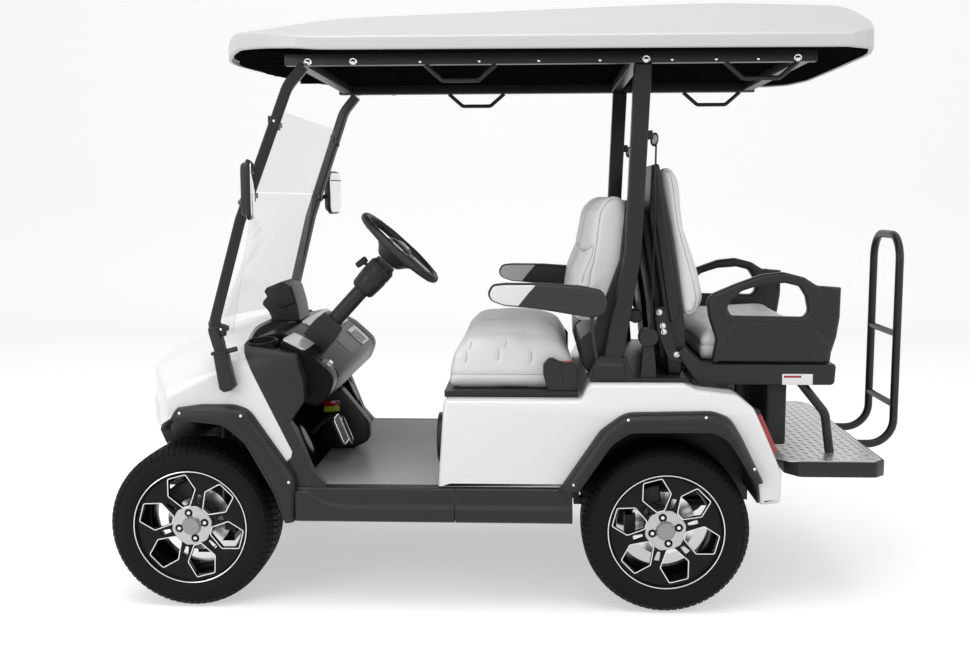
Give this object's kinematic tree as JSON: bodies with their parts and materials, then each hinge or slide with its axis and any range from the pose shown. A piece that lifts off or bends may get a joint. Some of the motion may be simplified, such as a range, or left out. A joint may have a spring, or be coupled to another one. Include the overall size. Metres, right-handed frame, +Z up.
{
  "type": "golf cart",
  "caption": "Open electric cart with a front bench and a rear-facing bench, a canopy roof on struts, a folding-height windshield, and steered wheels.",
  "frame": {"origin": "on the ground, midway between the cart's ends and sides", "axes": "-X to the cart's front, -Y to the driver's left, +Z up"},
  "size_m": [2.8789, 1.67, 2.109],
  "materials": {
    "white_panel": "gloss",
    "dark_plastic": "fine grain",
    "black_frame": "satin powder coat",
    "wheel_black": "gloss",
    "cast_steel": "dull",
    "tyre_rubber": "matte",
    "pale_vinyl": "soft grain",
    "wheel_leather": "grained",
    "canopy_grey": "satin",
    "floor_rubber": "ribbed",
    "tread_plate": "raised tread",
    "belt_webbing": "woven",
    "battery_case": "plain",
    "red_lens": "clear gloss",
    "lamp_glass": "clear",
    "window_glass": "clear"
  },
  "bodies": {
    "chassis": {"battery_pack": "battery_case", "canopy": "canopy_grey", "canopy_liner": "dark_plastic", "centre_pillars": "black_frame", "chassis_frame": "black_frame", "dashboard": "dark_plastic", "deck_trim": "dark_plastic", "display_pod": "dark_plastic", "floor_pan": "floor_rubber", "footplate": "tread_plate", "front_armrests": "dark_plastic", "front_backrests": "pale_vinyl", "front_bumper": "dark_plastic", "front_cowl": "white_panel", "front_fender_flares": "dark_plastic", "front_seat_shells": "dark_plastic", "front_suspension": "black_frame", "grab_bar": "black_frame", "headlamps": "lamp_glass", "inner_cowl": "dark_plastic", "mirrors": "dark_plastic", "pedals": "black_frame", "rear_armrests": "dark_plastic", "rear_axle": "cast_steel", "rear_backrests": "pale_vinyl", "rear_body": "white_panel", "rear_cushion": "pale_vinyl", "rear_fender_flares": "dark_plastic", "rear_seat_shells": "dark_plastic", "rear_tray": "dark_plastic", "rocker_panels": "dark_plastic", "roof_frame": "black_frame", "seat_belts": "belt_webbing", "speakers": "dark_plastic", "steering_column": "dark_plastic", "step_braces": "black_frame", "storage_box": "dark_plastic", "tail_lamps": "red_lens", "wheel_liners": "dark_plastic", "windshield_clamps": "dark_plastic", "windshield_lower": "window_glass", "windshield_struts": "black_frame", "windshield_upper": "window_glass"},
    "wheel_body_front_left": {"tyre_front_left": "tyre_rubber", "wheel_front_left": "wheel_black"},
    "wheel_body_front_right": {"tyre_front_right": "tyre_rubber", "wheel_front_right": "wheel_black"},
    "wheel_body_rear_left": {"tyre_rear_left": "tyre_rubber", "wheel_rear_left": "wheel_black"},
    "wheel_body_rear_right": {"tyre_rear_right": "tyre_rubber", "wheel_rear_right": "wheel_black"},
    "steering_knuckle_left": {"knuckle_left": "cast_steel"},
    "steering_knuckle_right": {"knuckle_right": "cast_steel"},
    "steering_wheel_body": {"steering_wheel": "wheel_leather"},
    "seat_lid": {"front_seat_base": "dark_plastic", "front_cushion": "pale_vinyl"}
  },
  "joints": [
    {"name": "steer_left", "type": "hinge", "parent": "chassis", "child": "steering_knuckle_left", "pos_m": [-1.155, -0.42, 0.292], "axis": [0, 0, 1], "range_deg": [-30, 30]},
    {"name": "spin_front_left", "type": "hinge", "parent": "steering_knuckle_left", "child": "wheel_body_front_left", "pos_m": [-1.155, -0.485, 0.292], "axis": [0, 1, 0], "continuous": true},
    {"name": "spin_rear_left", "type": "hinge", "parent": "chassis", "child": "wheel_body_rear_left", "pos_m": [0.515, -0.485, 0.292], "axis": [0, 1, 0], "continuous": true},
    {"name": "steer_right", "type": "hinge", "parent": "chassis", "child": "steering_knuckle_right", "pos_m": [-1.155, 0.42, 0.292], "axis": [0, 0, 1], "range_deg": [-30, 30]},
    {"name": "spin_front_right", "type": "hinge", "parent": "steering_knuckle_right", "child": "wheel_body_front_right", "pos_m": [-1.155, 0.485, 0.292], "axis": [0, 1, 0], "continuous": true},
    {"name": "spin_rear_right", "type": "hinge", "parent": "chassis", "child": "wheel_body_rear_right", "pos_m": [0.515, 0.485, 0.292], "axis": [0, 1, 0], "continuous": true},
    {"name": "steering_wheel_turn", "type": "hinge", "parent": "chassis", "child": "steering_wheel_body", "pos_m": [-0.435, -0.3, 1.264], "axis": [0.6782, 0, 0.7349], "range_deg": [-366, 366]},
    {"name": "seat_lid_hinge", "type": "hinge", "parent": "chassis", "child": "seat_lid", "pos_m": [-0.256, 0, 0.7545], "axis": [0, -1, 0], "range_deg": [0, 55]}
  ],
  "couplings": [
    {"joint": "steer_right", "follows": "steer_left", "ratio": 1},
    {"joint": "steering_wheel_turn", "follows": "steer_left", "ratio": 12}
  ]
}
